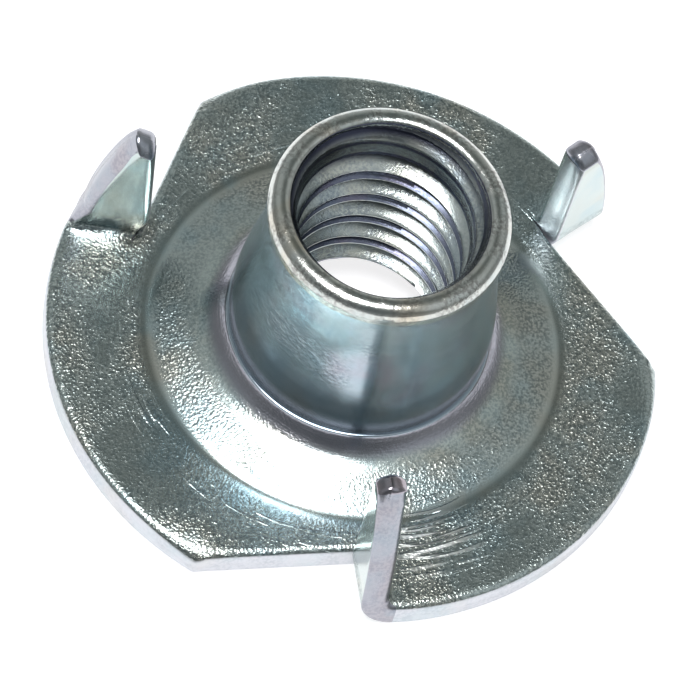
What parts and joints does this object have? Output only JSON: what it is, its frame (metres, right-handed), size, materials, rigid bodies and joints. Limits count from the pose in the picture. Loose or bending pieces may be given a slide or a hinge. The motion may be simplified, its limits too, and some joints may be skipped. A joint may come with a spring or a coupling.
{
  "type": "tee nut",
  "caption": "Stamped and drawn steel tee nut: round slit flange with bent-up prongs that bite into wood and a drawn barrel with an internal thread for a bolt.",
  "frame": {"origin": "on the barrel's axis, in the plane of the flange's underside", "axes": "+Z along the barrel from the flange to its mouth, -Y square to one slit"},
  "size_m": [0.0189, 0.019, 0.0087],
  "materials": {
    "zinc_plate": "bright zinc plate, lightly speckled, with blue-green tint"
  },
  "bodies": {
    "root": {"tee_nut": "zinc_plate"}
  },
  "joints": []
}
